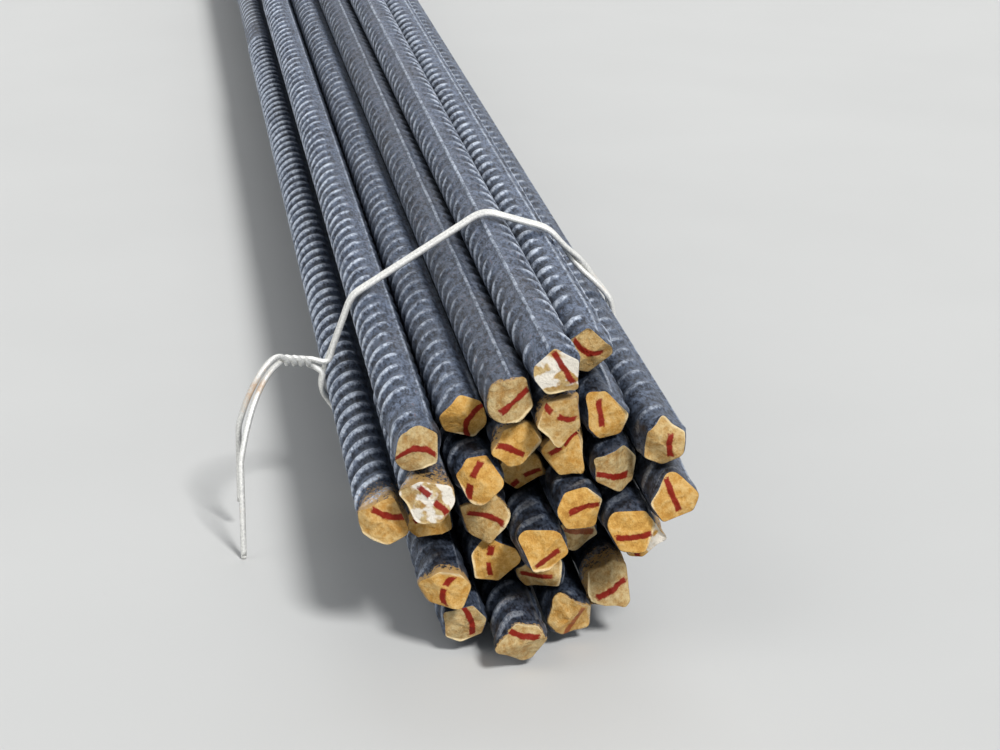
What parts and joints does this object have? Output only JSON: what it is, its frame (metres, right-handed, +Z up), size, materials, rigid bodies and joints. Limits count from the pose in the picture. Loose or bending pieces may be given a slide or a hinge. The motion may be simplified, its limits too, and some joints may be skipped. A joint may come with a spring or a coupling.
{
  "type": "rebar bundle",
  "caption": "Tied bundle of straight ribbed reinforcing bars with yellow-painted sheared ends and doubled wire ties.",
  "frame": {"origin": "on the floor, under the middle of the bundle's length and width", "axes": "+Y along the bars, the pictured painted ends at -Y; +Z up"},
  "size_m": [0.1061, 6.024, 0.0839],
  "materials": {
    "bar_steel": "mill scale",
    "tie_wire": "galvanised"
  },
  "bodies": {
    "root": {"bar_01": "bar_steel", "bar_02": "bar_steel", "bar_03": "bar_steel", "bar_04": "bar_steel", "bar_05": "bar_steel", "bar_06": "bar_steel", "bar_07": "bar_steel", "bar_08": "bar_steel", "bar_09": "bar_steel", "bar_10": "bar_steel", "bar_11": "bar_steel", "bar_12": "bar_steel", "bar_13": "bar_steel", "bar_14": "bar_steel", "bar_15": "bar_steel", "bar_16": "bar_steel", "bar_17": "bar_steel", "bar_18": "bar_steel", "bar_19": "bar_steel", "bar_20": "bar_steel", "bar_21": "bar_steel", "bar_22": "bar_steel", "bar_23": "bar_steel", "bar_24": "bar_steel", "bar_25": "bar_steel", "bar_26": "bar_steel", "bar_27": "bar_steel", "bar_28": "bar_steel", "bar_29": "bar_steel", "bar_30": "bar_steel", "tie_wire_1": "tie_wire", "tie_wire_2": "tie_wire", "tie_wire_3": "tie_wire", "tie_wire_4": "tie_wire"}
  },
  "joints": []
}
